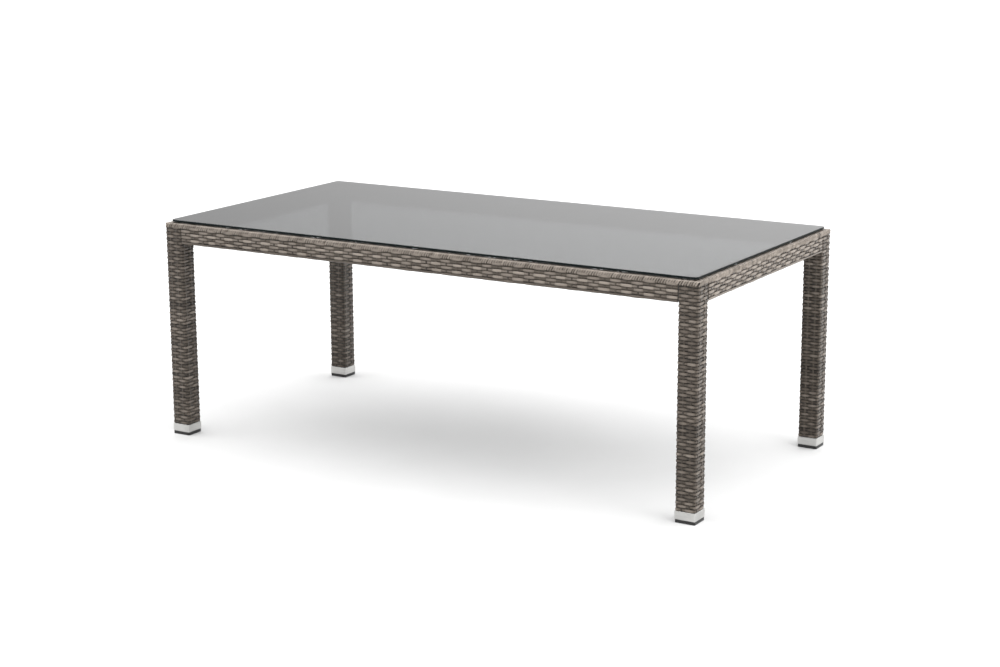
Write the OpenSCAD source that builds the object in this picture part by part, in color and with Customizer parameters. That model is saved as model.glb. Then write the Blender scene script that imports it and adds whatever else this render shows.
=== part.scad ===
// Garden table: woven synthetic-rattan frame on aluminium tube, with a loose tinted glass top.
// Origin: on the floor, under the middle of the table. +X runs along its length, +Z is up.

/* [Table] */
// Overall length over the woven legs
table_l = 2000; // [1400:50:2400]
// Overall depth over the woven legs
table_d = 1000; // [700:50:1200]
// Height from the floor to the top of the glass
table_h = 750; // [650:10:780]

/* [Frame tubes] */
// Outside width of the square leg tube
leg_tube_w = 60; // [50:5:70]
// Depth of a rail tube, from its outer to its inner face
rail_tube_d = 30; // [30:5:40]
// Height of a rail tube
rail_tube_h = 60; // [50:5:70]
// Wall of the leg and rail tubes
tube_wall = 2; // [1.5:0.5:3]

/* [Weave] */
// Thickness of the stakes that lie on the tubes
stake_t = 1.5; // [1:0.25:2]
// Thickness of the woven skin over the stakes
weave_t = 3.5; // [2.5:0.5:5]
// Radius of the skin's long outer edges
weave_r = 5; // [3:1:6]
// Width of one stake
stake_w = 6; // [4:1:8]
// Distance between stakes along a rail
rail_stake_pitch = 37; // [30:1:45]

/* [Feet] */
// Height of the black glide under each leg
glide_h = 11; // [9:1:14]
// Height of the aluminium shoe above the glide
shoe_h = 26; // [22:1:35]
// How far the shoe stands inside the woven face
shoe_inset = 0.5; // [0:0.5:2]
// How far the glide stands inside the woven face
glide_inset = 1.5; // [1:0.5:3]

/* [Glass] */
// Thickness of the glass
glass_t = 6; // [5:1:8]
// How far the glass stops short of the woven outer faces
glass_inset = 15; // [12:1:16]
// Radius of the corners of the glass
glass_r = 15; // [10:1:25]
// Height of the clear pads between the weave and the glass
pad_h = 3; // [2:0.5:4]
// Diameter of a glass pad
pad_dia = 20; // [16:1:20]

/* [Hidden] */
$fn = 48;

skin_t = stake_t + weave_t;              // from the tube to the outer face of the weave
leg_w = leg_tube_w + 2 * skin_t;
rail_d = rail_tube_d + 2 * skin_t;
rail_h = rail_tube_h + 2 * skin_t;
glass_z = table_h - glass_t;             // underside of the glass
frame_top = glass_z - pad_h;             // top of the weave
rail_z = frame_top - rail_h;             // underside of the woven rail
tube_top = frame_top - skin_t;
weave_z = glide_h + shoe_h;              // lower end of the leg weave
tube_bore_w = leg_tube_w - 2 * tube_wall;
shoe_floor = 4;
tube_z = glide_h + shoe_floor;           // lower end of the leg tube, on the shoe's floor
plug_flange = 3;
plug_depth = 22;
plug_gap = 0.2;
plug_wall = 3;
long_rail_l = table_l - 2 * leg_w;       // woven length between the legs
short_rail_l = table_d - 2 * leg_w;
leg_x = table_l / 2 - leg_w / 2;         // middle of a leg
leg_y = table_d / 2 - leg_w / 2;
rail_y = table_d / 2 - rail_d / 2;       // middle line of a long rail
rail_x = table_l / 2 - rail_d / 2;       // middle line of a short rail
stakes_per_face = 2;
stake_spacing = 28;

screw_r = 4;
screw_l = 30;
screw_head_r = 8;
screw_head_h = 5;
hole_gap = 0.3;
thread_gap = 0.05;
counterbore_r = 9;
counterbore_h = 7;
insert_h = 30;
glide_r = 4;
shoe_r = 3;
tube_r = 3;

pad_stem_r = 3;
pad_stem_l = 12;
pad_bore_gap = 0.1;
pad_edge_gap = 2;                        // from a pad to the edge of the glass
pad_inset = glass_inset + pad_edge_gap + pad_dia / 2;
pad_y = table_d / 2 - pad_inset;
pad_x = table_l / 2 - pad_inset;
pad_points = concat(
    [for (side = [-1, 1], i = [-2 : 2]) [stake_gap(long_rail_l, i * long_rail_l / 5), side * pad_y]],
    [for (side = [-1, 1], i = [-1, 1]) [side * pad_x, stake_gap(short_rail_l, i * short_rail_l / 4)]]);

// Distance between stakes when a whole number of them fills a rail
function stake_pitch(woven_l) = woven_l / floor(woven_l / rail_stake_pitch);

// The gap between two stakes that lies nearest to a wanted place along a rail
function stake_gap(woven_l, wanted) =
    round((wanted + woven_l / 2) / stake_pitch(woven_l)) * stake_pitch(woven_l) - woven_l / 2;

// Places the front-left leg's children at one corner, mirrored from that leg
module at_corner(side_x, side_y) {
    mirror([side_x > 0 ? 1 : 0, 0, 0])
        mirror([0, side_y > 0 ? 1 : 0, 0])
            translate([-leg_x, -leg_y, 0])
                children();
}

// Places a rail that was drawn along X on one long side of the table
module on_long_side(side) {
    translate([0, side * rail_y, frame_top - rail_h / 2])
        children();
}

// Places a rail that was drawn along X on one short side of the table
module on_short_side(side) {
    translate([side * rail_x, 0, frame_top - rail_h / 2])
        rotate([0, 0, 90])
            children();
}

module rounded_rect(w, d, r) {
    square([w - 2 * r, d], center = true);
    square([w, d - 2 * r], center = true);
    for (sx = [-1, 1], sy = [-1, 1])
        translate([sx * (w / 2 - r), sy * (d / 2 - r)])
            circle(r);
}

module block(w, d, h, r) {
    linear_extrude(h)
        rounded_rect(w, d, r);
}

// A square-edged bar along X, with its section in the YZ plane
module bar_x(l, d, h) {
    cube([l, d, h], center = true);
}

module round_bar_x(l, d, h, r) {
    rotate([90, 0, 90])
        translate([0, 0, -l / 2])
            linear_extrude(l)
                rounded_rect(d, h, r);
}

// A rail's tube or weave on one side of the table, pierced for the stems of its glass pads
module pierced() {
    difference() {
        children();
        for (p = pad_points)
            translate([p[0], p[1], tube_top - 2 * pad_stem_l])
                cylinder(r = pad_stem_r + pad_bore_gap, h = 4 * pad_stem_l);
    }
}

module leg_tube() {
    color("darkslategray")
        translate([0, 0, tube_z])
            difference() {
                block(leg_tube_w, leg_tube_w, tube_top - plug_flange - tube_z, tube_r);
                translate([0, 0, -1])
                    block(tube_bore_w, tube_bore_w, table_h, tube_r - tube_wall);
            }
}

// The ribbed plastic plug that closes the top of a leg tube
module leg_plug() {
    plug_w = tube_bore_w - 2 * plug_gap;
    color("dimgray")
        difference() {
            union() {
                translate([0, 0, tube_top - plug_flange])
                    block(leg_tube_w, leg_tube_w, plug_flange, tube_r);
                translate([0, 0, tube_top - plug_flange - plug_depth])
                    block(plug_w, plug_w, plug_depth, 1);
            }
            translate([0, 0, tube_top - plug_flange - plug_depth - 1])
                block(plug_w - 2 * plug_wall, plug_w - 2 * plug_wall, plug_depth + 1, 1);
        }
}

// Flat stakes that run down the leg on each face, clear of the rail ends on the two inner faces
module leg_stakes() {
    color("dimgray")
        for (turn = [0 : 3])
            rotate([0, 0, 90 * turn])
                for (i = [0 : stakes_per_face - 1])
                    leg_stake((i - (stakes_per_face - 1) / 2) * stake_spacing, turn);
}

module leg_stake(offset, turn) {
    faces_rail = turn == 1 || turn == 2;
    stake_top = faces_rail ? rail_z : tube_top;
    translate([offset - stake_w / 2, -leg_tube_w / 2 - stake_t, weave_z])
        cube([stake_w, stake_t, stake_top - weave_z]);
}

// The woven skin of a leg: a closed sleeve with openings where the two rails enter
module leg_weave() {
    inner_w = leg_tube_w + 2 * stake_t;
    color("gray")
        difference() {
            translate([0, 0, weave_z])
                block(leg_w, leg_w, frame_top - weave_z, weave_r);
            translate([0, 0, weave_z - 1])
                block(inner_w, inner_w, frame_top - weave_t - weave_z + 1, tube_r);
            translate([leg_w / 2, (rail_d - leg_w) / 2, frame_top - rail_h / 2])
                bar_x(leg_w, rail_tube_d, rail_tube_h);
            translate([(rail_d - leg_w) / 2, leg_w / 2, frame_top - rail_h / 2])
                rotate([0, 0, 90])
                    bar_x(leg_w, rail_tube_d, rail_tube_h);
        }
}

// A rail tube butts against the leg tubes at both ends, where it is welded
module rail_tube(woven_l) {
    tube_l = woven_l + 2 * skin_t;
    color("darkslategray")
        difference() {
            bar_x(tube_l, rail_tube_d, rail_tube_h);
            bar_x(tube_l + 2, rail_tube_d - 2 * tube_wall, rail_tube_h - 2 * tube_wall);
        }
}

// Hoops of flat stake round a rail tube
module rail_stakes(woven_l) {
    pitch = stake_pitch(woven_l);
    color("dimgray")
        for (x = [(pitch - woven_l) / 2 : pitch : woven_l / 2])
            translate([x, 0, 0])
                difference() {
                    bar_x(stake_w, rail_tube_d + 2 * stake_t, rail_tube_h + 2 * stake_t);
                    bar_x(stake_w + 2, rail_tube_d, rail_tube_h);
                }
}

module rail_weave(woven_l) {
    color("gray")
        difference() {
            round_bar_x(woven_l, rail_d, rail_h, weave_r);
            bar_x(woven_l + 2, rail_tube_d + 2 * stake_t, rail_tube_h + 2 * stake_t);
        }
}

// A cast shoe: a square cup that the leg tube stands in
module foot_shoe() {
    shoe_w = leg_w - 2 * shoe_inset;
    color("gainsboro")
        translate([0, 0, glide_h])
            difference() {
                block(shoe_w, shoe_w, shoe_h, shoe_r);
                translate([0, 0, shoe_floor])
                    block(leg_tube_w, leg_tube_w, shoe_h, tube_r);
                translate([0, 0, -1])
                    cylinder(r = screw_r + hole_gap, h = shoe_floor + 2);
            }
}

// A threaded plastic insert in the lower end of the leg tube
module foot_insert() {
    color("black")
        difference() {
            translate([0, 0, tube_z])
                block(tube_bore_w, tube_bore_w, insert_h, tube_r - tube_wall);
            translate([0, 0, tube_z - 1])
                cylinder(r = screw_r + thread_gap, h = insert_h + 2);
        }
}

module glide() {
    glide_w = leg_w - 2 * glide_inset;
    color("black")
        difference() {
            block(glide_w, glide_w, glide_h, glide_r);
            translate([0, 0, -1])
                cylinder(r = screw_r + hole_gap, h = glide_h + 2);
            translate([0, 0, -1])
                cylinder(r = counterbore_r, h = counterbore_h + 1);
        }
}

// One screw holds the glide and the shoe up against the leg
module glide_screw() {
    color("silver")
        translate([0, 0, counterbore_h]) {
            translate([0, 0, -screw_head_h])
                cylinder(r = screw_head_r, h = screw_head_h);
            cylinder(r = screw_r, h = screw_l);
        }
}

module glide_screws() {
    for (side_x = [-1, 1], side_y = [-1, 1])
        at_corner(side_x, side_y)
            glide_screw();
}

// Clear silicone pads: each has a disc under the glass and a stem through the weave into the rail
module glass_pads() {
    color("white")
        for (p = pad_points)
            translate([p[0], p[1], frame_top]) {
                cylinder(r = pad_dia / 2, h = pad_h);
                translate([0, 0, -pad_stem_l])
                    cylinder(r = pad_stem_r, h = pad_stem_l + 1);
            }
}

module glass_top() {
    color("slategray", 0.5)
        translate([0, 0, glass_z])
            block(table_l - 2 * glass_inset, table_d - 2 * glass_inset, glass_t, glass_r);
}

at_corner(-1, -1) leg_tube();  // leg_tube_front_left
at_corner(1, -1) leg_tube();  // leg_tube_front_right
at_corner(-1, 1) leg_tube();  // leg_tube_back_left
at_corner(1, 1) leg_tube();  // leg_tube_back_right
pierced() on_long_side(-1) rail_tube(long_rail_l);  // rail_tube_front
pierced() on_long_side(1) rail_tube(long_rail_l);  // rail_tube_back
pierced() on_short_side(-1) rail_tube(short_rail_l);  // rail_tube_left
pierced() on_short_side(1) rail_tube(short_rail_l);  // rail_tube_right
at_corner(-1, -1) leg_plug();  // leg_plug_front_left
at_corner(1, -1) leg_plug();  // leg_plug_front_right
at_corner(-1, 1) leg_plug();  // leg_plug_back_left
at_corner(1, 1) leg_plug();  // leg_plug_back_right
at_corner(-1, -1) leg_stakes();  // leg_stakes_front_left
at_corner(1, -1) leg_stakes();  // leg_stakes_front_right
at_corner(-1, 1) leg_stakes();  // leg_stakes_back_left
at_corner(1, 1) leg_stakes();  // leg_stakes_back_right
on_long_side(-1) rail_stakes(long_rail_l);  // rail_stakes_front
on_long_side(1) rail_stakes(long_rail_l);  // rail_stakes_back
on_short_side(-1) rail_stakes(short_rail_l);  // rail_stakes_left
on_short_side(1) rail_stakes(short_rail_l);  // rail_stakes_right
at_corner(-1, -1) leg_weave();  // leg_weave_front_left
at_corner(1, -1) leg_weave();  // leg_weave_front_right
at_corner(-1, 1) leg_weave();  // leg_weave_back_left
at_corner(1, 1) leg_weave();  // leg_weave_back_right
pierced() on_long_side(-1) rail_weave(long_rail_l);  // rail_weave_front
pierced() on_long_side(1) rail_weave(long_rail_l);  // rail_weave_back
pierced() on_short_side(-1) rail_weave(short_rail_l);  // rail_weave_left
pierced() on_short_side(1) rail_weave(short_rail_l);  // rail_weave_right
at_corner(-1, -1) foot_shoe();  // foot_shoe_front_left
at_corner(1, -1) foot_shoe();  // foot_shoe_front_right
at_corner(-1, 1) foot_shoe();  // foot_shoe_back_left
at_corner(1, 1) foot_shoe();  // foot_shoe_back_right
at_corner(-1, -1) foot_insert();  // foot_insert_front_left
at_corner(1, -1) foot_insert();  // foot_insert_front_right
at_corner(-1, 1) foot_insert();  // foot_insert_back_left
at_corner(1, 1) foot_insert();  // foot_insert_back_right
at_corner(-1, -1) glide();  // glide_front_left
at_corner(1, -1) glide();  // glide_front_right
at_corner(-1, 1) glide();  // glide_back_left
at_corner(1, 1) glide();  // glide_back_right
glide_screws();
glass_pads();
glass_top();
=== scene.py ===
"""The looks of the woven garden table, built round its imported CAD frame.

Metres, in the CAD frame: +X runs along the table, +Z is up, and the front long side faces -Y.
"""

import math

import bmesh
import bpy
import numpy as np
from mathutils import Matrix, Vector


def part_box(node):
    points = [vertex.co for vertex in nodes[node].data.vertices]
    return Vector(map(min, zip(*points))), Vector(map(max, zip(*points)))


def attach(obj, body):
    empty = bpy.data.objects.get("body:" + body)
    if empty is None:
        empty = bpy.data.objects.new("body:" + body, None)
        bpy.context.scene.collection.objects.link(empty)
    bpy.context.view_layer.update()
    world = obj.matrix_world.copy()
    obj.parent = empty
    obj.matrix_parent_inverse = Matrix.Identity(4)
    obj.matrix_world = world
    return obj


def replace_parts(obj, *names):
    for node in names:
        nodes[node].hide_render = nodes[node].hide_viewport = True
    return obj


MM = 0.001

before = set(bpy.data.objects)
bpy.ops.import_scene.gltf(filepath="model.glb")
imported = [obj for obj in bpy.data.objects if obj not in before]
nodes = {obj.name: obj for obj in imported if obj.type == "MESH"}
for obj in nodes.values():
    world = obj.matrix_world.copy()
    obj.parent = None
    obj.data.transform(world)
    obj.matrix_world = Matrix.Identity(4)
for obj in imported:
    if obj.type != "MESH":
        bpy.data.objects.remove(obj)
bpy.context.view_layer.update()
rng = np.random.default_rng(7)

CORNERS = ("front_left", "front_right", "back_right", "back_left")
SIDES = ("front", "right", "back", "left")

# Sizes that come from the CAD nodes
front_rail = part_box("rail_weave_front")
right_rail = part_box("rail_weave_right")
front_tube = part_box("rail_tube_front")
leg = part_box("leg_weave_front_left")
FRAME_TOP = front_rail[1].z
RAIL_DEPTH = front_rail[1].y - front_rail[0].y
RAIL_HEIGHT = front_rail[1].z - front_rail[0].z
RAIL_LENGTHS = {
    "front": front_rail[1].x - front_rail[0].x,
    "back": front_rail[1].x - front_rail[0].x,
    "left": right_rail[1].y - right_rail[0].y,
    "right": right_rail[1].y - right_rail[0].y,
}
RAIL_BOTTOM = front_rail[0].z
LEG_WIDTH = leg[1].x - leg[0].x
LEG_BOTTOM = leg[0].z
HALF_LENGTH = front_rail[1].x + LEG_WIDTH
HALF_DEPTH = -front_rail[0].y
# The woven skin's thickness, and the depth of the middle of its weave
SKIN = front_tube[0].y - front_rail[0].y
MID_SKIN = SKIN / 2

# Round the sections of a strand and a stake: (share of half width, share of half thickness)
STRAND_SECTION = np.array(
    [(-1, -0.3), (1, -0.3), (0.8, 0.35), (0.42, 0.83), (0, 1), (-0.42, 0.83), (-0.8, 0.35)]
)
STAKE_SECTION = np.array([(-1, -1), (1, -1), (1, 1), (-1, 1)])

# The strands, and the corners of the surface in the middle of their weave
STRAND_HALF_WIDTH = 4.75 * MM
STRAND_HALF_THICKNESS = 1.2 * MM
MID_RADIUS = 4 * MM
# A strand bows out over one stake and in under the next, and is pulled in where it crosses between
WEAVE_SWING = 1.4 * MM
BEHIND_SWING = 0.8 * MM
GROOVE_DEPTH = 1.1 * MM
# The power of a sine that each bow follows: the lower, the more the bow is a flat bar
FLOAT_BLUNTNESS = 0.24
# How much broader a strand is where it stands out
FLOAT_SPREAD = 0.03
# The points along one bow, as shares of the way from crossing to crossing
FLOAT_POINTS = np.array([0, 0.045, 0.12, 0.28, 0.5, 0.72, 0.88, 0.955])
# The share of the swing that is left at a corner
CORNER_SWING = 0.35
# An outward direction with a larger part than this along an axis points along it
ALONG_AXIS = 0.95
# An outward direction with larger parts than this along both axes is on a corner
ON_CORNER = 0.05

# A strand's tone is higher where it is paler. It starts from the middle and differs between
# strands. It is raised where the strand stands out and along its crown, as painted highlight, and
# lowered where it dips, as painted shade
TONE_MIDDLE = 0.5
TONE_WANDER = 0.09
# Painted highlight on the floats that stand out, and painted shade where the strands dip into the
# grooves
FLOAT_PAINTED_LIGHT = 0.16
# Painted highlight along each strand's outward crown, with painted shade on its lower flank
CROWN_PAINTED_HIGHLIGHT = 0.2
# Each strand is cut from somewhere in a streak pattern this long, in metres
STREAK_LENGTH = 50
# Half the width of the strand map, in half thicknesses of the strand
MAP_SPREAD = 3.5

# The rails. Their highest row is measured from their middle line, and their top faces are flatter
# and stand out more than the others, and are painted darker as painted shade from the glass above
# them
RAIL_ROWS = 19
RAIL_TOP_ROW = 20.5 * MM
RAIL_STAKE_PITCH = 37 * MM
HOOP_POINTS = 48
RAIL_CROSSING_WANDER = 2.6 * MM
RAIL_ROW_WANDER = 0.35 * MM
RAIL_WIDTH_WANDER = 0.04
RAIL_TWIST_WANDER = 0.07
TOP_LIFT = 0.9 * MM
TOP_SWING = 0.3
# Painted shade on the rails' top faces, for the shade of the glass over them
TOP_PAINTED_SHADE = -0.14

# The stakes, and how far they stand out of the middle of the weave
STAKE_HALF_WIDTH = 3 * MM
STAKE_HALF_THICKNESS = 0.26 * MM
STAKE_LIFT = 0.68 * MM

# The short strands that bind the top edge. They reach down and in from the edge with their ends
# tucked in, and lean by the slant about a pivot, a share of their way. The margin is left free at
# the corners
BINDING_PITCH = 8.5 * MM
BINDING_MARGIN = 9 * MM
BINDING_REACH = 9 * MM
BINDING_POINTS = 17
BINDING_HALF_WIDTH = 3.0 * MM
BINDING_SLANT = 12 * MM
BINDING_PIVOT = 0.4
BINDING_RISE = 2.3 * MM
BINDING_TUCK = 1.0 * MM
BINDING_BLUNTNESS = 0.35
# Painted highlight: the binding strands are painted paler, for the light that falls on the top
# edge from overhead
BINDING_PAINTED_HIGHLIGHT = 0.22
BINDING_WANDER = 0.4 * MM
BINDING_WIDTH_WANDER = 0.05
BINDING_TWIST_WANDER = 0.08

# The legs. Their swings are a share of a rail's, and smaller again near the corners
LEG_ROWS = 65
LEG_TOP_ROW = 726.5 * MM
LEG_LOWEST_ROW = LEG_BOTTOM + 5.4 * MM
# Where the strands of a leg cross, in millimetres round its faces from the front face's left edge
LEG_CROSSINGS = np.array([8.6, 36, 64.5, 104, 132, 176, 204.5, 244])
LEG_POINT_STEP = 2.2 * MM
LEG_STRAND_HALF_THICKNESS = 0.95 * MM
LEG_RELIEF = 0.8
# Painted shade: the legs' strands are painted darker than the rails', for the shade that falls on
# the legs under the table
LEG_PAINTED_SHADE = -0.14
LEG_CORNER_REACH = 6 * MM
LEG_CROSSING_WANDER = 1.1 * MM
LEG_LEVEL_WANDER = 0.25 * MM
LEG_WIDTH_WANDER = 0.03
# A leg's strand waves up and down once round the leg and tilts three times, from a random phase
LEG_WAVE = 0.3 * MM
LEG_TILT = 0.06
ANY_PHASE = 6.3
# A leg's stakes wave in and out, once in two rows
LEG_STAKE_LIFT = 0.57 * MM
LEG_STAKE_WAVE = 0.1 * MM
LEG_STAKE_HALF_WAVE = 10.7 * MM
LEG_STAKE_POINTS = 90

# The woven square on a leg's top, shifted under the glass
CAP_STRANDS = 6
CAP_PITCH = 10.4 * MM
CAP_SHIFT = 4.2 * MM
CAP_START = -24 * MM
CAP_END = 34.5 * MM
CAP_POINTS = 41
CAP_SWING = 0.95 * MM
CAP_THINNING = 0.9


# ---------------------------------------------------------------- strand meshes


def smooth_noise(count, step, size):
    """A slowly wandering random line of that many points, with a new value every step points."""
    knots = rng.normal(0, size, count // step + 3)
    return np.interp(np.arange(count) / step, np.arange(len(knots)), knots)


def unit(v):
    """Each row of v, made one long."""
    return v / np.linalg.norm(v, axis=1, keepdims=True)


def turned(points, turns):
    """Points turned about the table's upright middle line by quarter turns."""
    x, y, z = points.T
    for _ in range(turns % 4):
        x, y = -y, x
    return np.stack([x, y, z], axis=1)


def frames_along(path, out, closed, twist):
    """Directions across a path that faces out, and up from it, turned about it by the twist."""
    if closed:
        along = np.roll(path, -1, axis=0) - np.roll(path, 1, axis=0)
    else:
        along = np.gradient(path, axis=0)
    along = unit(along)
    across = unit(np.cross(along, out))
    up = np.cross(across, along)
    twist = np.broadcast_to(twist, len(path))[:, None]
    c, s = np.cos(twist), np.sin(twist)
    return across * c + up * s, up * c - across * s


class StrandMesh:
    """Collects swept strands, then makes one mesh of them, with a strand map and a tone."""

    def __init__(self, section):
        self.section = section
        self.verts, self.tones, self.loops, self.sizes, self.maps = [], [], [], [], []
        self.vert_count = 0

    def add(self, path, out, half_width, half_thickness, closed=False, twist=0.0, fade=0.0):
        """Sweeps the section along a path that faces out. Its last argument paints light and shade
        into the strand: the higher it is, the paler.
        """
        n, m = len(path), len(self.section)
        across, up = frames_along(path, out, closed, twist)
        width = np.broadcast_to(half_width, n)
        sa, su = self.section[:, 0], self.section[:, 1]
        verts = (
            path[:, None, :]
            + across[:, None, :] * (width[:, None] * sa[None, :])[:, :, None]
            + up[:, None, :] * (half_thickness * su)[None, :, None]
        )
        rings = n if closed else n - 1
        i, j = np.meshgrid(np.arange(rings), np.arange(m), indexing="ij")
        i, j = i.ravel(), j.ravel()
        i2, j2 = (i + 1) % n, (j + 1) % m
        quads = np.stack([i * m + j, i2 * m + j, i2 * m + j2, i * m + j2], axis=1)
        steps = np.linalg.norm(np.roll(path, -1, axis=0) - path, axis=1)
        length = np.concatenate([[0], np.cumsum(steps)]) + rng.uniform(0, STREAK_LENGTH)
        side = sa * half_thickness * MAP_SPREAD
        maps = np.stack(
            [
                np.stack([length[i], length[i + 1], length[i + 1], length[i]], axis=1),
                np.stack([side[j], side[j], side[j2], side[j2]], axis=1),
            ],
            axis=2,
        )
        self.verts.append(verts.reshape(-1, 3))
        # Painted highlight on the crown and painted shade on the lower flank, over the painted
        # light the strand was given
        tone = np.broadcast_to(fade, n)[:, None] + CROWN_PAINTED_HIGHLIGHT * su[None, :]
        self.tones.append((tone + rng.normal(TONE_MIDDLE, TONE_WANDER)).ravel())
        self.loops.append(quads.ravel() + self.vert_count)
        self.sizes.append(np.full(len(quads), 4))
        self.maps.append(maps.reshape(-1, 2))
        if not closed:
            self.add_end(np.arange(m), length[0])
            self.add_end(np.arange(m)[::-1] + (n - 1) * m, length[n - 1])
        self.vert_count += n * m

    def add_end(self, ring, length):
        """Closes one end of the strand that is being added."""
        self.loops.append(ring + self.vert_count)
        self.sizes.append(np.array([len(ring)]))
        self.maps.append(np.tile([length, 0.0], (len(ring), 1)))

    def build(self, name, material):
        """Makes the piece."""
        verts = np.concatenate(self.verts)
        loops = np.concatenate(self.loops)
        sizes = np.concatenate(self.sizes)
        mesh = bpy.data.meshes.new(name)
        mesh.vertices.add(len(verts))
        mesh.vertices.foreach_set("co", verts.ravel())
        mesh.loops.add(len(loops))
        mesh.loops.foreach_set("vertex_index", loops.astype(np.int32))
        mesh.polygons.add(len(sizes))
        starts = np.concatenate([[0], np.cumsum(sizes)[:-1]])
        mesh.polygons.foreach_set("loop_start", starts.astype(np.int32))
        mesh.polygons.foreach_set("loop_total", sizes.astype(np.int32))
        mesh.update(calc_edges=True)
        strand_map = mesh.uv_layers.new(name="strand")
        strand_map.data.foreach_set("uv", np.concatenate(self.maps).ravel())
        tone = mesh.attributes.new("tone", "FLOAT", "POINT")
        tone.data.foreach_set("value", np.concatenate(self.tones))
        mesh.validate()
        if self.section is STRAND_SECTION:
            mesh.shade_smooth()
        mesh.materials.append(material)
        piece = bpy.data.objects.new(name, mesh)
        bpy.context.scene.collection.objects.link(piece)
        return piece


def round_rect(s, width, height, radius):
    """Points and outward directions on a rounded rectangle, by the way round it from where its
    lower side's straight part starts. Both come as (first axis, second axis)."""
    arc = math.pi / 2 * radius
    lengths = [width - 2 * radius, arc, height - 2 * radius, arc] * 2
    starts = np.concatenate([[0], np.cumsum(lengths)])
    s = np.mod(s, starts[-1])
    part = np.clip(np.searchsorted(starts, s, side="right") - 1, 0, len(lengths) - 1)
    inside = s - starts[part]
    quarter = part // 2
    on_arc = part % 2 == 1
    bend = np.where(on_arc, inside / radius, 0)
    angle = -math.pi / 2 + quarter * math.pi / 2 + bend
    half_w, half_h = width / 2 - radius, height / 2 - radius
    corner_a = np.array([half_w, half_w, -half_w, -half_w])[quarter]
    corner_b = np.array([-half_h, half_h, half_h, -half_h])[quarter]
    run = np.where(on_arc, 0, np.array(lengths)[part] - inside)
    na, nb = np.cos(angle), np.sin(angle)
    a = corner_a + radius * na + run * nb
    b = corner_b + radius * nb - run * na
    return a, b, na, nb


def round_rect_length(width, height, radius):
    """The whole way round a rounded rectangle."""
    return 2 * (width + height - 4 * radius) + 2 * math.pi * radius


def swing(position, crossings, first_sign):
    """How far a strand stands out of the middle of the weave. Its first bow is out if first_sign
    is 1, and in if it is -1."""
    part = np.clip(np.searchsorted(crossings, position) - 1, 0, len(crossings) - 2)
    share = (position - crossings[part]) / (crossings[part + 1] - crossings[part])
    bow = np.sin(math.pi * np.clip(share, 0, 1)) ** FLOAT_BLUNTNESS
    over = first_sign * np.where(part % 2 == 0, 1, -1) > 0
    return np.where(over, WEAVE_SWING, -BEHIND_SWING) * bow - GROOVE_DEPTH * (1 - bow)


def strand_width(d):
    """Half width of a strand that stands out by d: broad where it shows, pinched behind."""
    return STRAND_HALF_WIDTH * (1 + FLOAT_SPREAD * d / WEAVE_SWING)


def painted_relief_light(d):
    """Painted light: a strand is painted paler where it stands out, and painted with shade where
    it dips.
    """
    return FLOAT_PAINTED_LIGHT * np.clip(d / WEAVE_SWING, -1, 1)


# ------------------------------------------------------------------------ rails


RAIL_MID_HEIGHT = RAIL_HEIGHT - 2 * MID_SKIN
RAIL_MID_DEPTH = RAIL_DEPTH - 2 * MID_SKIN
RAIL_AROUND = round_rect_length(RAIL_MID_HEIGHT, RAIL_MID_DEPTH, MID_RADIUS)
# The way round a rail's section to the end of its outer face's straight part
RAIL_TOP_EDGE = RAIL_MID_HEIGHT - 2 * MID_RADIUS


def rail_section(s):
    """Points on the middle of a rail's weave: (y, z) from the rail's middle line, and outward."""
    z, y, nz, ny = round_rect(s, RAIL_MID_HEIGHT, RAIL_MID_DEPTH, MID_RADIUS)
    return y, z, ny, nz


def rail_place(side, points):
    """Moves points drawn about a rail's middle line, facing -Y, to their side of the table."""
    reach = HALF_DEPTH if side in ("front", "back") else HALF_LENGTH
    middle = np.array([0, -reach + RAIL_DEPTH / 2, FRAME_TOP - RAIL_HEIGHT / 2])
    return turned(points + middle, SIDES.index(side))


def rail_spacing(side):
    """How many stakes a rail has, and the distance from one to the next."""
    length = RAIL_LENGTHS[side]
    count = math.floor(length / RAIL_STAKE_PITCH)
    return count, length / count


def rail_crossings(side):
    """Where a strand along a rail crosses its neighbours, a little differently for each strand."""
    count, pitch = rail_spacing(side)
    crossings = np.arange(count + 1) * pitch - RAIL_LENGTHS[side] / 2
    crossings[1:-1] += rng.normal(0, RAIL_CROSSING_WANDER, count - 1)
    return crossings


def add_rail_strand(mesh, side, way_round, first_sign):
    """A strand along a rail, at that way round the rail's section."""
    crossings = rail_crossings(side)
    x = (crossings[:-1, None] + np.diff(crossings)[:, None] * FLOAT_POINTS).ravel()
    x = np.append(x, crossings[-1])
    y, z, ny, nz = rail_section(way_round + smooth_noise(len(x), step=12, size=RAIL_ROW_WANDER))
    on_corner = np.minimum(abs(ny), abs(nz)) > ON_CORNER
    on_top = nz > ALONG_AXIS
    d = swing(x, crossings, first_sign)
    d = np.where(on_corner, d * CORNER_SWING, d)
    # The top faces get painted shade; the other rows get painted light and shade by how far they
    # stand out
    fade = np.where(on_top, TOP_PAINTED_SHADE, painted_relief_light(d))
    d = np.where(on_top, d * TOP_SWING + TOP_LIFT, d)
    path = np.stack([x, y + ny * d, z + nz * d], axis=1)
    out = np.stack([np.zeros(len(x)), ny, nz], axis=1)
    mesh.add(
        rail_place(side, path),
        turned(out, SIDES.index(side)),
        strand_width(d) * (1 + smooth_noise(len(x), step=7, size=RAIL_WIDTH_WANDER)),
        STRAND_HALF_THICKNESS,
        twist=smooth_noise(len(x), step=9, size=RAIL_TWIST_WANDER),
        fade=fade,
    )


def rail_weave(side, material):
    """All strands of a rail but the one under its binding."""
    mesh = StrandMesh(STRAND_SECTION)
    top_row = RAIL_TOP_ROW + RAIL_HEIGHT / 2 - MID_SKIN - MID_RADIUS
    for row in range(RAIL_ROWS - 1):
        way_round = top_row - row * RAIL_AROUND / RAIL_ROWS
        add_rail_strand(mesh, side, way_round, 1 if row % 2 else -1)
    return mesh.build("rail_strands_" + side, material)


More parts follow.
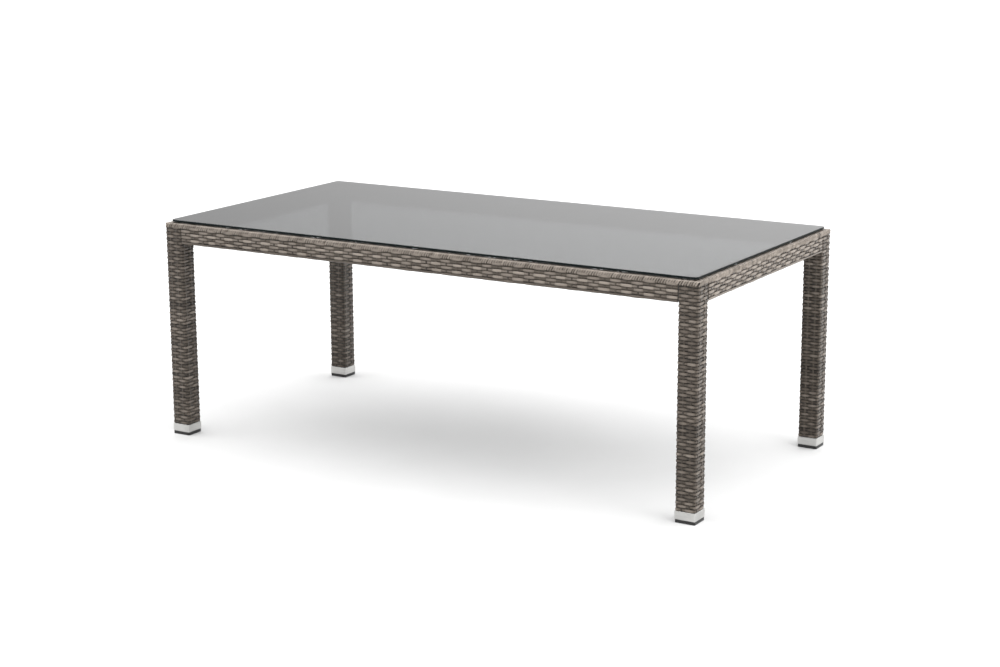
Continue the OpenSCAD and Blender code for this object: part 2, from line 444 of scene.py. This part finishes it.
def rail_stakes(side, material):
    """The flat hoops round a rail that its strands are woven over."""
    mesh = StrandMesh(STAKE_SECTION)
    y, z, ny, nz = rail_section(np.linspace(0, RAIL_AROUND, HOOP_POINTS, endpoint=False))
    out = np.stack([np.zeros(HOOP_POINTS), ny, nz], axis=1)
    count, pitch = rail_spacing(side)
    for i in range(count):
        x = np.full(HOOP_POINTS, (i + 0.5) * pitch - RAIL_LENGTHS[side] / 2)
        path = np.stack([x, y + ny * STAKE_LIFT, z + nz * STAKE_LIFT], axis=1)
        mesh.add(
            rail_place(side, path),
            turned(out, SIDES.index(side)),
            STAKE_HALF_WIDTH,
            STAKE_HALF_THICKNESS,
            closed=True,
        )
    return mesh.build("rail_hoops_" + side, material)


def add_binding_strand(mesh, side, middle):
    """A short slanting strand over the top outer edge, at that place along the side."""
    t = np.linspace(0, 1, BINDING_POINTS)
    y, z, ny, nz = rail_section(RAIL_TOP_EDGE + (2 * t - 1) * BINDING_REACH)
    d = np.sin(math.pi * t) ** BINDING_BLUNTNESS * BINDING_RISE - BINDING_TUCK
    x = middle + (t - BINDING_PIVOT) * BINDING_SLANT
    path = np.stack([x, y + ny * d, z + nz * d], axis=1)
    out = np.stack([np.zeros(len(t)), ny, nz], axis=1)
    mesh.add(
        rail_place(side, path),
        turned(out, SIDES.index(side)),
        BINDING_HALF_WIDTH * (1 + rng.normal(0, BINDING_WIDTH_WANDER)),
        STRAND_HALF_THICKNESS,
        twist=rng.normal(0, BINDING_TWIST_WANDER),
        fade=BINDING_PAINTED_HIGHLIGHT,
    )


def edge_binding(material):
    """The strands that bind the top outer edge, all round the table."""
    mesh = StrandMesh(STRAND_SECTION)
    for side in SIDES:
        reach = HALF_LENGTH if side in ("front", "back") else HALF_DEPTH
        run = 2 * reach - BINDING_MARGIN
        count = round(run / BINDING_PITCH)
        for i in range(count):
            middle = (i + 0.5) * run / count - run / 2 + rng.normal(0, BINDING_WANDER)
            add_binding_strand(mesh, side, middle)
    return mesh.build("edge_binding", material)


# ------------------------------------------------------------------------- legs


LEG_MID_WIDTH = LEG_WIDTH - 2 * MID_SKIN
LEG_AROUND = round_rect_length(LEG_MID_WIDTH, LEG_MID_WIDTH, MID_RADIUS)
# From a leg's corner to where the straight part of its lower side starts
LEG_START = math.pi / 4 * MID_RADIUS


def leg_section(s):
    """Points on the middle of a leg's weave, from the leg's middle line, and outward."""
    return round_rect(s, LEG_MID_WIDTH, LEG_MID_WIDTH, MID_RADIUS)


def leg_place(turns, points):
    """Moves points drawn about the front-left leg's middle line to the leg that many quarter
    turns on."""
    x = HALF_LENGTH if turns % 2 == 0 else HALF_DEPTH
    y = HALF_DEPTH if turns % 2 == 0 else HALF_LENGTH
    middle = np.array([-x + LEG_WIDTH / 2, -y + LEG_WIDTH / 2, 0])
    return turned(points + middle, turns)


def leg_way(flat):
    """Turns a way round a leg's four flat faces into the way round the middle of its weave."""
    return flat * LEG_AROUND / (4 * LEG_WIDTH) - LEG_START


def leg_crossings(turns):
    """The crossings round one leg, as ways round the middle of its weave before it is turned."""
    return leg_way(LEG_CROSSINGS * MM - turns * LEG_WIDTH)


def calmed_at_corners(d, s):
    """Swings that stand out are made smaller near a leg's corners."""
    side = LEG_AROUND / 4
    from_corner = abs(np.mod(s + LEG_START + side / 2, side) - side / 2)
    near = np.exp(-((from_corner / LEG_CORNER_REACH) ** 2))
    return np.where(d > 0, d * (1 - (1 - CORNER_SWING) * near), d)


def add_leg_strand(mesh, turns, level, crossings, first_sign, first, last):
    """A strand at that height, from the first to the last way round a leg, or right round it."""
    closed = last - first == LEG_AROUND
    count = round((last - first) / LEG_POINT_STEP)
    s = np.linspace(first, last, count, endpoint=not closed)
    a, b, na, nb = leg_section(s)
    wrapped = np.mod(s - crossings[0], LEG_AROUND) + crossings[0]
    d = calmed_at_corners(swing(wrapped, crossings, first_sign) * LEG_RELIEF, s)
    turn = 2 * math.pi * s / LEG_AROUND
    wave = LEG_WAVE * np.sin(turn + rng.uniform(0, ANY_PHASE))
    z = level + wave + rng.normal(0, LEG_LEVEL_WANDER)
    tilt = LEG_TILT * np.sin(3 * turn + rng.uniform(0, ANY_PHASE))
    path = np.stack([a + na * d, b + nb * d, z], axis=1)
    out = np.stack([na, nb, np.zeros(count)], axis=1)
    mesh.add(
        leg_place(turns, path),
        turned(out, turns),
        strand_width(d) * (1 + rng.normal(0, LEG_WIDTH_WANDER)),
        LEG_STRAND_HALF_THICKNESS,
        closed=closed,
        twist=tilt,
        fade=painted_relief_light(d) + LEG_PAINTED_SHADE,
    )


def leg_weave(turns, material):
    """The rows of a leg, which stop at the rails that join its right and back faces."""
    mesh = StrandMesh(STRAND_SECTION)
    whole = [(0, LEG_AROUND)]
    right_rail_ends = leg_way(LEG_WIDTH + SKIN), leg_way(LEG_WIDTH + RAIL_DEPTH - SKIN)
    back_rail_ends = leg_way(3 * LEG_WIDTH - RAIL_DEPTH + SKIN), leg_way(3 * LEG_WIDTH - SKIN)
    between_rails = [
        (right_rail_ends[1], back_rail_ends[0]),
        (back_rail_ends[1], right_rail_ends[0] + LEG_AROUND),
    ]
    for row in range(LEG_ROWS):
        level = LEG_TOP_ROW - row * (LEG_TOP_ROW - LEG_LOWEST_ROW) / (LEG_ROWS - 1)
        crossings = leg_crossings(turns)
        crossings += rng.normal(0, LEG_CROSSING_WANDER, len(crossings))
        crossings = np.append(crossings, crossings[0] + LEG_AROUND)
        beside_rail = level + STRAND_HALF_WIDTH > RAIL_BOTTOM + SKIN
        for first, last in between_rails if beside_rail else whole:
            add_leg_strand(mesh, turns, level, crossings, 1 if row % 2 else -1, first, last)
    add_leg_cap(mesh, turns)
    return mesh.build("leg_strands_" + CORNERS[turns], material)


def add_leg_cap(mesh, turns):
    """The small woven square on top of a leg."""
    t = np.linspace(CAP_START, CAP_END, CAP_POINTS)
    level = FRAME_TOP - MID_SKIN
    up = np.tile([0.0, 0.0, 1.0], (CAP_POINTS, 1))
    for j in range(CAP_STRANDS):
        offset = np.full(CAP_POINTS, (j - (CAP_STRANDS - 1) / 2) * CAP_PITCH + CAP_SHIFT)
        d = np.cos(math.pi * (t - CAP_SHIFT) / CAP_PITCH + math.pi * j) * CAP_SWING
        along_x = np.stack([t, offset, level + d], axis=1)
        along_y = np.stack([offset, t, level - d], axis=1)
        for path in (along_x, along_y):
            mesh.add(
                leg_place(turns, path),
                turned(up, turns),
                STRAND_HALF_WIDTH,
                STRAND_HALF_THICKNESS * CAP_THINNING,
            )


def leg_stakes(turns, material):
    """The flat uprights that a leg's strands are woven over, midway between its crossings."""
    crossings = leg_crossings(turns)
    crossings = np.append(crossings, crossings[0] + LEG_AROUND)
    mesh = StrandMesh(STAKE_SECTION)
    for s in (crossings[:-1] + crossings[1:]) / 2:
        a, b, na, nb = leg_section(np.array([s]))
        inner_face = na[0] > 0.5 or nb[0] > 0.5
        top = RAIL_BOTTOM if inner_face else FRAME_TOP - SKIN
        z = np.linspace(LEG_BOTTOM, top, LEG_STAKE_POINTS)
        lift = LEG_STAKE_LIFT + LEG_STAKE_WAVE * np.sin(z / LEG_STAKE_HALF_WAVE * math.pi)
        path = np.stack([a + na * lift, b + nb * lift, z], axis=1)
        out = np.tile([na[0], nb[0], 0.0], (len(z), 1))
        mesh.add(
            leg_place(turns, path),
            turned(out, turns),
            STAKE_HALF_WIDTH,
            STAKE_HALF_THICKNESS,
        )
    return mesh.build("leg_uprights_" + CORNERS[turns], material)


# -------------------------------------------------------------------- materials


class Nodes:
    """A short way to write one material's node tree."""

    def __init__(self, name):
        self.material = bpy.data.materials.new(name)
        self.material.use_nodes = True
        self.tree = self.material.node_tree
        self.shader = self.tree.nodes["Principled BSDF"]

    def add(self, kind, links=None, **values):
        """A new node with those values, and its inputs linked or set."""
        node = self.tree.nodes.new(kind)
        for key, value in values.items():
            setattr(node, key, value)
        for socket, source in (links or {}).items():
            self.link(source, node.inputs[socket])
        return node

    def link(self, source, target):
        """Links a source to a socket, or sets the socket to it if it is a plain value."""
        if isinstance(source, bpy.types.NodeSocket):
            self.tree.links.new(source, target)
        else:
            target.default_value = source

    def shade(self, **inputs):
        """Links or sets the shader's own inputs, named with _ for each space."""
        for name, source in inputs.items():
            self.link(source, self.shader.inputs[name.replace("_", " ")])

    def stretched(self, vector, scale):
        node = self.add("ShaderNodeMapping", {"Vector": vector, "Scale": scale})
        return node.outputs["Vector"]

    def noise(self, vector, scale=1.0, detail=3.0, roughness=0.55):
        links = {
            "Vector": vector,
            "Scale": scale,
            "Detail": detail,
            "Roughness": roughness,
        }
        return self.add("ShaderNodeTexNoise", links).outputs["Fac"]

    def ramp(self, factor, *stops):
        """A colour that follows a factor through two or more stops: (position, colour)."""
        node = self.add("ShaderNodeValToRGB", {"Fac": factor})
        elements = node.color_ramp.elements
        elements[0].position, elements[0].color = stops[0][0], (*stops[0][1], 1)
        elements[1].position, elements[1].color = stops[-1][0], (*stops[-1][1], 1)
        for position, color in stops[1:-1]:
            elements.new(position).color = (*color, 1)
        return node.outputs["Color"]

    def math(self, operation, first, second=0.0):
        node = self.add("ShaderNodeMath", {0: first, 1: second}, operation=operation)
        return node.outputs["Value"]

    def weighted(self, *parts):
        """The sum of some factors, each times its weight."""
        total = self.math("MULTIPLY", *parts[0])
        for factor, weight in parts[1:]:
            total = self.math("ADD", total, self.math("MULTIPLY", factor, weight))
        return total

    def between(self, factor, low, high):
        """A value that goes from low to high as the factor goes from 0 to 1."""
        node = self.add("ShaderNodeMapRange", {"Value": factor, "To Min": low, "To Max": high})
        return node.outputs["Result"]

    def bump(self, height, strength, distance):
        links = {"Height": height, "Strength": strength, "Distance": distance}
        return self.add("ShaderNodeBump", links).outputs["Normal"]

    def place(self):
        """Where a point is in its piece's own frame, in metres."""
        return self.add("ShaderNodeTexCoord").outputs["Object"]


def grey(level):
    """A grey colour."""
    return (level, level, level)


def strand_material(name, dark, middle, pale):
    """Extruded synthetic strand: streaked along its length, each strand a little different, and
    with the painted light and shade that its tone brings.
    """
    n = Nodes(name)
    uv = n.add("ShaderNodeUVMap", uv_map="strand").outputs["UV"]
    tone = n.add("ShaderNodeAttribute", attribute_name="tone").outputs["Fac"]
    streaks = n.noise(n.stretched(uv, (14, 2600, 1)), detail=4.0, roughness=0.6)
    patches = n.noise(n.stretched(uv, (16, 60, 1)), detail=2.0)
    grooves = n.noise(n.stretched(uv, (5, 3400, 1)), detail=2.0)
    mixed = n.weighted((streaks, 0.35), (patches, 0.2), (tone, 0.6))
    n.shade(
        Base_Color=n.ramp(mixed, (0.38, dark), (0.62, middle), (0.86, pale)),
        Roughness=n.between(streaks, 0.40, 0.26),
        Normal=n.bump(grooves, strength=0.55, distance=0.3 * MM),
        Specular_IOR_Level=0.25,
    )
    return n.material


def brushed_aluminium(name):
    """Bright metal, brushed round the foot."""
    n = Nodes(name)
    place = n.place()
    brushing = n.noise(n.stretched(place, (6, 6, 1600)), detail=4.0, roughness=0.65)
    clouds = n.noise(place, scale=26.0)
    level = n.weighted((brushing, 0.7), (clouds, 0.3))
    n.shade(
        Base_Color=n.ramp(level, (0.3, (0.44, 0.435, 0.42)), (0.7, (0.66, 0.655, 0.64))),
        Metallic=1.0,
        Roughness=n.between(level, 0.3, 0.5),
        Normal=n.bump(brushing, strength=0.25, distance=0.2 * MM),
    )
    return n.material


def moulded_plastic(name, low, high, rough):
    """Fine-grained grey plastic between two levels, with scuffs that are rougher."""
    n = Nodes(name)
    place = n.place()
    grain = n.noise(place, scale=1500.0)
    scuffs = n.noise(n.stretched(place, (40, 40, 160)), detail=4.0, roughness=0.7)
    n.shade(
        Base_Color=n.ramp(scuffs, (0.35, grey(low)), (0.75, grey(high))),
        Roughness=n.between(scuffs, rough, rough + 0.18),
        Normal=n.bump(grain, strength=0.2, distance=0.2 * MM),
    )
    return n.material


def powder_coat(name):
    """Nearly black paint with a fine orange peel, dusty in places."""
    n = Nodes(name)
    place = n.place()
    peel = n.noise(place, scale=420.0, detail=2.0)
    dust = n.noise(place, scale=18.0, detail=4.0)
    n.shade(
        Base_Color=n.ramp(dust, (0.3, (0.02, 0.019, 0.018)), (0.8, (0.04, 0.038, 0.035))),
        Roughness=n.between(dust, 0.42, 0.6),
        Normal=n.bump(peel, strength=0.3, distance=0.4 * MM),
    )
    return n.material


def zinc_steel(name):
    """Plated steel with a grain of zinc crystals."""
    n = Nodes(name)
    place = n.place()
    spangle = n.noise(place, scale=320.0)
    n.shade(
        Base_Color=n.ramp(spangle, (0.35, (0.42, 0.42, 0.43)), (0.7, (0.6, 0.6, 0.6))),
        Metallic=1.0,
        Roughness=n.between(spangle, 0.28, 0.45),
        Normal=n.bump(spangle, strength=0.15, distance=0.2 * MM),
    )
    return n.material


def clear_silicone(name):
    """Clear rubber with a slight haze."""
    n = Nodes(name)
    place = n.place()
    haze = n.noise(place, scale=240.0)
    n.shade(
        Base_Color=n.ramp(haze, (0.35, (0.72, 0.76, 0.76)), (0.75, (0.86, 0.88, 0.88))),
        Roughness=n.between(haze, 0.25, 0.4),
        Normal=n.bump(haze, strength=0.2, distance=0.3 * MM),
        Transmission_Weight=0.6,
        IOR=1.41,
    )
    return n.material


def smoked_glass(name):
    """Grey glass, seen through its faces, with a faint rolled texture."""
    n = Nodes(name)
    place = n.place()
    ripple = n.noise(n.stretched(place, (9, 14, 1)), detail=2.0)
    film = n.noise(place, scale=35.0, detail=5.0, roughness=0.7)
    n.shade(
        Base_Color=n.ramp(film, (0.3, (0.052, 0.057, 0.059)), (0.7, (0.066, 0.072, 0.074))),
        Roughness=n.between(film, 0.02, 0.05),
        Normal=n.bump(ripple, strength=0.03, distance=1.0 * MM),
        Transmission_Weight=1.0,
        IOR=1.52,
    )
    return n.material


def glass_edge(name):
    """The ground and polished edge, dark because it is seen along the sheet."""
    n = Nodes(name)
    place = n.place()
    grinding = n.noise(n.stretched(place, (30, 30, 2600)))
    n.shade(
        Base_Color=n.ramp(grinding, (0.3, (0.004, 0.006, 0.006)), (0.8, (0.012, 0.017, 0.017))),
        Roughness=n.between(grinding, 0.3, 0.45),
        Normal=n.bump(grinding, strength=0.12, distance=0.2 * MM),
        Specular_IOR_Level=0.06,
    )
    return n.material


def studio_floor(name):
    """Plain pale matte floor."""
    n = Nodes(name)
    speckle = n.noise(n.place(), scale=3.0)
    n.shade(
        Base_Color=n.ramp(speckle, (0.3, grey(0.50)), (0.7, grey(0.515))),
        Roughness=n.between(speckle, 0.8, 0.9),
        Specular_IOR_Level=0.1,
    )
    return n.material


# ------------------------------------------------------------------ solid pieces

# Edges with a sharper turn than this are eased
SHARP_ANGLE = math.radians(40)
GLASS_EASING = 0.7 * MM
SHOE_EASING = 0.6 * MM
GLIDE_EASING = 1.2 * MM


def eased_copy(node, name, width, materials):
    """A new piece with a CAD node's shape and its sharp edges eased."""
    mesh = nodes[node].data.copy()
    mesh.name = name
    mesh.materials.clear()
    shape = bmesh.new()
    shape.from_mesh(mesh)
    bmesh.ops.remove_doubles(shape, verts=shape.verts, dist=1e-6)
    bmesh.ops.dissolve_limit(
        shape, angle_limit=math.radians(1), verts=shape.verts, edges=shape.edges
    )
    sharp = [e for e in shape.edges if e.calc_face_angle(0) > SHARP_ANGLE]
    bmesh.ops.bevel(
        shape,
        geom=sharp,
        offset=width,
        offset_type="OFFSET",
        segments=3,
        profile=0.5,
        affect="EDGES",
        clamp_overlap=True,
    )
    shape.to_mesh(mesh)
    shape.free()
    for material in materials:
        mesh.materials.append(material)
    mesh.shade_smooth()
    mesh.set_sharp_from_angle(angle=math.radians(10))
    piece = bpy.data.objects.new(name, mesh)
    bpy.context.scene.collection.objects.link(piece)
    return piece


def glass_sheet(face, edge):
    """The glass plate, with one material on its two faces and one on its edges."""
    sheet = eased_copy("glass_top", "glass_sheet", GLASS_EASING, [face, edge])
    for polygon in sheet.data.polygons:
        polygon.material_index = 0 if abs(polygon.normal.z) > ALONG_AXIS else 1
    return sheet


def dress(names, material):
    """Gives one material to the CAD nodes of those names."""
    for name in names:
        nodes[name].data.materials.clear()
        nodes[name].data.materials.append(material)


# ------------------------------------------------------------------------ build

strand = strand_material(
    "woven_strand",
    dark=(0.015, 0.0116, 0.0088),
    middle=(0.076, 0.0618, 0.0495),
    pale=(0.240, 0.207, 0.177),
)
# The stakes' strand is painted darker than the woven strand, as painted shade in the grooves
# behind the strands
upright = strand_material(
    "stake_strand_painted_shade",
    dark=(0.012, 0.0092, 0.0068),
    middle=(0.034, 0.027, 0.021),
    pale=(0.085, 0.070, 0.056),
)
aluminium = brushed_aluminium("brushed_aluminium")
black_plastic = moulded_plastic("glide_plastic", low=0.006, high=0.016, rough=0.38)
hidden_plastic = moulded_plastic("hidden_plastic", low=0.02, high=0.05, rough=0.5)

for side in SIDES:
    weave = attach(rail_weave(side, strand), "frame")
    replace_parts(weave, "rail_weave_" + side)
    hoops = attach(rail_stakes(side, upright), "frame")
    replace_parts(hoops, "rail_stakes_" + side)

for turns, corner in enumerate(CORNERS):
    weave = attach(leg_weave(turns, strand), "frame")
    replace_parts(weave, "leg_weave_" + corner)
    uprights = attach(leg_stakes(turns, upright), "frame")
    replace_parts(uprights, "leg_stakes_" + corner)
    shoe = eased_copy("foot_shoe_" + corner, "shoe_" + corner, SHOE_EASING, [aluminium])
    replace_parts(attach(shoe, "frame"), "foot_shoe_" + corner)
    cap = eased_copy("glide_" + corner, "glide_cap_" + corner, GLIDE_EASING, [black_plastic])
    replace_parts(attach(cap, "frame"), "glide_" + corner)

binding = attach(edge_binding(strand), "frame")

sheet = glass_sheet(smoked_glass("smoked_glass"), glass_edge("glass_edge"))
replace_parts(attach(sheet, "glass"), "glass_top")

coated = powder_coat("powder_coat")
dress([n for n in nodes if "_tube_" in n], coated)
dress([n for n in nodes if n.startswith(("leg_plug", "foot_insert"))], hidden_plastic)
dress(["glide_screws"], zinc_steel("zinc_steel"))
dress(["glass_pads"], clear_silicone("clear_silicone"))


# ----------------------------------------------------------------------- studio

# In metres from the middle
FLOOR_REACH = 60.0

# The room glows evenly, and more in some directions:
# (direction, cosine to it where the glow starts, cosine where it is full, brightness added)
STUDIO_LEVEL = 0.38
STUDIO_GLOW = (
    ((0.0, 0.0, 1.0), 0.25, 0.62, 2.57),
    ((0.3, 0.94, 0.15), 0.2, 1.0, 0.9),
    ((0.85, 0.0, 0.52), 0.82, 0.97, 0.8),
    ((-0.81, -0.3, 0.5), 0.82, 0.97, 0.8),
)

LAMP_PLACE = (5.5, -1.0, 3.2)
LAMP_AIM = (0, 0, 0.5)
LAMP_WIDTH = 3.0
LAMP_POWER = 90.0

# The camera turns left by the pan, looks down by the dip and rolls, all in degrees. Its lens is
# in millimetres
CAMERA_PLACE = (3.5065, -5.7522, 1.9463)
CAMERA_PAN = 31.2
CAMERA_DIP = 13.17
CAMERA_ROLL = -0.27
CAMERA_LENS = 73.63


def add_floor():
    """A wide plain floor, which isn't part of the object."""
    shape = bmesh.new()
    corners = [(-1, -1), (1, -1), (1, 1), (-1, 1)]
    shape.faces.new([shape.verts.new((x * FLOOR_REACH, y * FLOOR_REACH, 0)) for x, y in corners])
    mesh = bpy.data.meshes.new("floor")
    shape.to_mesh(mesh)
    shape.free()
    mesh.materials.append(studio_floor("studio_floor"))
    floor = bpy.data.objects.new("floor", mesh)
    bpy.context.scene.collection.objects.link(floor)


def glow_towards(tree, place, direction, start, end, glow):
    """A glow round one direction of the room, as a socket."""
    facing = tree.nodes.new("ShaderNodeVectorMath")
    facing.operation = "DOT_PRODUCT"
    facing.inputs[1].default_value = direction
    tree.links.new(place, facing.inputs[0])
    part = tree.nodes.new("ShaderNodeMapRange")
    part.interpolation_type = "SMOOTHSTEP"
    part.inputs["From Min"].default_value = start
    part.inputs["From Max"].default_value = end
    part.inputs["To Min"].default_value = 0.0
    part.inputs["To Max"].default_value = glow
    tree.links.new(facing.outputs["Value"], part.inputs["Value"])
    return part.outputs["Result"]


def add_studio_glow():
    """An even pale room, brightest overhead, brighter too behind the table and high at both
    sides."""
    world = bpy.data.worlds.new("studio")
    world.use_nodes = True
    tree = world.node_tree
    place = tree.nodes.new("ShaderNodeTexCoord").outputs["Generated"]
    even = tree.nodes.new("ShaderNodeValue")
    even.outputs["Value"].default_value = STUDIO_LEVEL
    total = even.outputs["Value"]
    for direction, start, end, glow in STUDIO_GLOW:
        both = tree.nodes.new("ShaderNodeMath")
        both.operation = "ADD"
        tree.links.new(total, both.inputs[0])
        tree.links.new(glow_towards(tree, place, direction, start, end, glow), both.inputs[1])
        total = both.outputs["Value"]
    background = tree.nodes["Background"]
    background.inputs["Color"].default_value = (1.0, 1.0, 1.0, 1.0)
    tree.links.new(total, background.inputs["Strength"])
    bpy.context.scene.world = world


def add_soft_lamp():
    """One large soft lamp, high up at the right."""
    lamp = bpy.data.lights.new("soft_lamp", "AREA")
    lamp.shape = "SQUARE"
    lamp.size = LAMP_WIDTH
    lamp.energy = LAMP_POWER
    holder = bpy.data.objects.new("soft_lamp", lamp)
    holder.location = LAMP_PLACE
    aim = Vector(LAMP_AIM) - holder.location
    holder.rotation_euler = aim.to_track_quat("-Z", "Y").to_euler()
    bpy.context.scene.collection.objects.link(holder)


def add_camera():
    camera = bpy.data.cameras.new("camera")
    camera.sensor_width = 36.0
    camera.lens = CAMERA_LENS
    camera.clip_start = 0.1
    camera.clip_end = 200.0
    holder = bpy.data.objects.new("camera", camera)
    pan = Matrix.Rotation(math.radians(CAMERA_PAN), 4, "Z")
    tilt = Matrix.Rotation(math.radians(90 - CAMERA_DIP), 4, "X")
    roll = Matrix.Rotation(math.radians(CAMERA_ROLL), 4, "Z")
    holder.matrix_world = Matrix.Translation(CAMERA_PLACE) @ pan @ tilt @ roll
    bpy.context.scene.collection.objects.link(holder)
    bpy.context.scene.camera = holder


add_floor()
add_studio_glow()
add_soft_lamp()
add_camera()
bpy.context.scene.view_settings.view_transform = "Standard"
